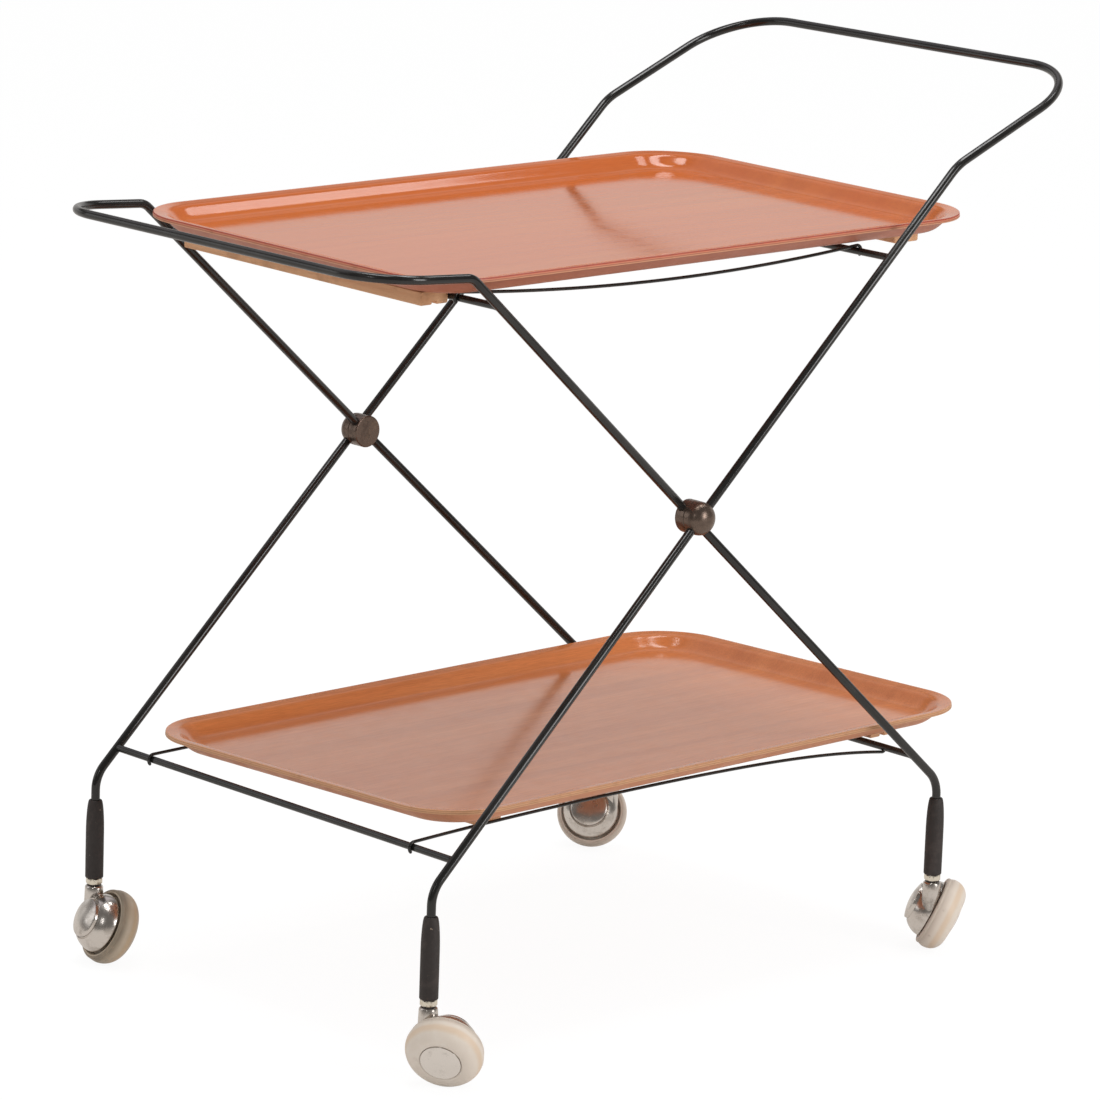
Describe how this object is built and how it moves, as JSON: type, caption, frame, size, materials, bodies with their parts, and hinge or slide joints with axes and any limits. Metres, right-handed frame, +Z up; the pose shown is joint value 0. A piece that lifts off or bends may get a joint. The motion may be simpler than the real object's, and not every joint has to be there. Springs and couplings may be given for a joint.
{
  "type": "bar cart",
  "caption": "Folding bar cart: crossed black rod frames on pivot barrels, moulded teak plywood trays on wire stays, and swivelling ball casters.",
  "frame": {"origin": "on the floor under the middle of the cart's length, in the middle plane between the frames' sides", "axes": "+X along the cart towards the raised handle, +Y across it to the far side of the picture, +Z up"},
  "size_m": [0.8579, 0.5488, 0.819],
  "materials": {
    "lacquer": "worn semi-gloss black lacquer",
    "bronze": "dark bronze satin",
    "steel": "bright steel",
    "nickel": "aged nickel plating",
    "chrome": "polished plated casting",
    "tyre": "yellowed cream rubber",
    "sleeve": "matte black plastic",
    "teak": "lacquered teak veneer on bent plywood",
    "batten": "plain light hardwood"
  },
  "bodies": {
    "handle_frame": {"handle_bow": "lacquer", "handle_crossbar": "lacquer", "left_foot_crossbar": "lacquer", "leg_left_near": "lacquer", "leg_left_far": "lacquer", "sleeve_left_near": "sleeve", "sleeve_left_far": "sleeve", "barrel_outer_near": "bronze", "barrel_outer_far": "bronze", "pivot_pin_near": "steel", "pivot_pin_far": "steel", "caster_stem_left_near": "nickel", "caster_stem_left_far": "nickel"},
    "loop_frame": {"loop_bow": "lacquer", "loop_crossbar": "lacquer", "right_foot_crossbar": "lacquer", "leg_right_near": "lacquer", "leg_right_far": "lacquer", "sleeve_right_near": "sleeve", "sleeve_right_far": "sleeve", "barrel_inner_near": "bronze", "barrel_inner_far": "bronze", "caster_stem_right_near": "nickel", "caster_stem_right_far": "nickel"},
    "top_stays": {"stay_top_near": "lacquer", "stay_top_far": "lacquer"},
    "low_stays": {"stay_low_near": "lacquer", "stay_low_far": "lacquer"},
    "top_tray": {"tray_top": "teak", "batten_top_left": "batten", "batten_top_right": "batten"},
    "low_tray": {"tray_low": "teak", "batten_low_left": "batten", "batten_low_right": "batten"},
    "caster_left_near": {"caster_left_near_hood": "chrome", "caster_left_near_axle": "steel"},
    "caster_left_far": {"caster_left_far_hood": "chrome", "caster_left_far_axle": "steel"},
    "caster_right_near": {"caster_right_near_hood": "chrome", "caster_right_near_axle": "steel"},
    "caster_right_far": {"caster_right_far_hood": "chrome", "caster_right_far_axle": "steel"},
    "wheel_left_near": {"caster_left_near_tyre": "tyre", "caster_left_near_cap": "chrome"},
    "wheel_left_far": {"caster_left_far_tyre": "tyre", "caster_left_far_cap": "chrome"},
    "wheel_right_near": {"caster_right_near_tyre": "tyre", "caster_right_near_cap": "chrome"},
    "wheel_right_far": {"caster_right_far_tyre": "tyre", "caster_right_far_cap": "chrome"}
  },
  "joints": [
    {"name": "fold", "type": "hinge", "parent": "handle_frame", "child": "loop_frame", "pos_m": [-0.054, 0, 0.458], "axis": [0, 1, 0], "range_deg": [0, 57]},
    {"name": "top_stays_swing", "type": "hinge", "parent": "handle_frame", "child": "top_stays", "pos_m": [0.17139, 0, 0.668], "axis": [0, 1, 0], "range_deg": [0, 33]},
    {"name": "low_stays_swing", "type": "hinge", "parent": "handle_frame", "child": "low_stays", "pos_m": [-0.3318, 0, 0.194], "axis": [0, 1, 0], "range_deg": [0, 34.5]},
    {"name": "top_tray_tip", "type": "hinge", "parent": "handle_frame", "child": "top_tray", "pos_m": [0.17139, 0, 0.668], "axis": [0, 1, 0], "range_deg": [0, 35.5]},
    {"name": "low_tray_tip", "type": "hinge", "parent": "handle_frame", "child": "low_tray", "pos_m": [-0.3318, 0, 0.194], "axis": [0, 1, 0], "range_deg": [0, 28.6]},
    {"name": "swivel_left_near", "type": "hinge", "parent": "handle_frame", "child": "caster_left_near", "pos_m": [-0.356, -0.2298, 0.06], "axis": [0, 0, 1], "continuous": true},
    {"name": "swivel_left_far", "type": "hinge", "parent": "handle_frame", "child": "caster_left_far", "pos_m": [-0.356, 0.2298, 0.06], "axis": [0, 0, 1], "continuous": true},
    {"name": "swivel_right_near", "type": "hinge", "parent": "loop_frame", "child": "caster_right_near", "pos_m": [0.279, -0.2185, 0.06], "axis": [0, 0, 1], "continuous": true},
    {"name": "swivel_right_far", "type": "hinge", "parent": "loop_frame", "child": "caster_right_far", "pos_m": [0.279, 0.2185, 0.06], "axis": [0, 0, 1], "continuous": true},
    {"name": "roll_left_near", "type": "hinge", "parent": "caster_left_near", "child": "wheel_left_near", "pos_m": [-0.34639, -0.24443, 0.03639], "axis": [-0.7575, -0.4976, -0.4226], "continuous": true},
    {"name": "roll_left_far", "type": "hinge", "parent": "caster_left_far", "child": "wheel_left_far", "pos_m": [-0.36, 0.21276, 0.03639], "axis": [0.8824, -0.207, -0.4226], "continuous": true},
    {"name": "roll_right_near", "type": "hinge", "parent": "caster_right_near", "child": "wheel_right_near", "pos_m": [0.29225, -0.20706, 0.03639], "axis": [0.5922, -0.6861, -0.4226], "continuous": true},
    {"name": "roll_right_far", "type": "hinge", "parent": "caster_right_far", "child": "wheel_right_far", "pos_m": [0.26801, 0.23212, 0.03639], "axis": [0.7053, 0.5691, -0.4226], "continuous": true}
  ],
  "couplings": [
    {"joint": "top_stays_swing", "follows": "fold", "ratio": 0.575},
    {"joint": "low_stays_swing", "follows": "fold", "ratio": 0.6},
    {"joint": "top_tray_tip", "follows": "fold", "ratio": 0.62},
    {"joint": "low_tray_tip", "follows": "fold", "ratio": 0.5}
  ]
}
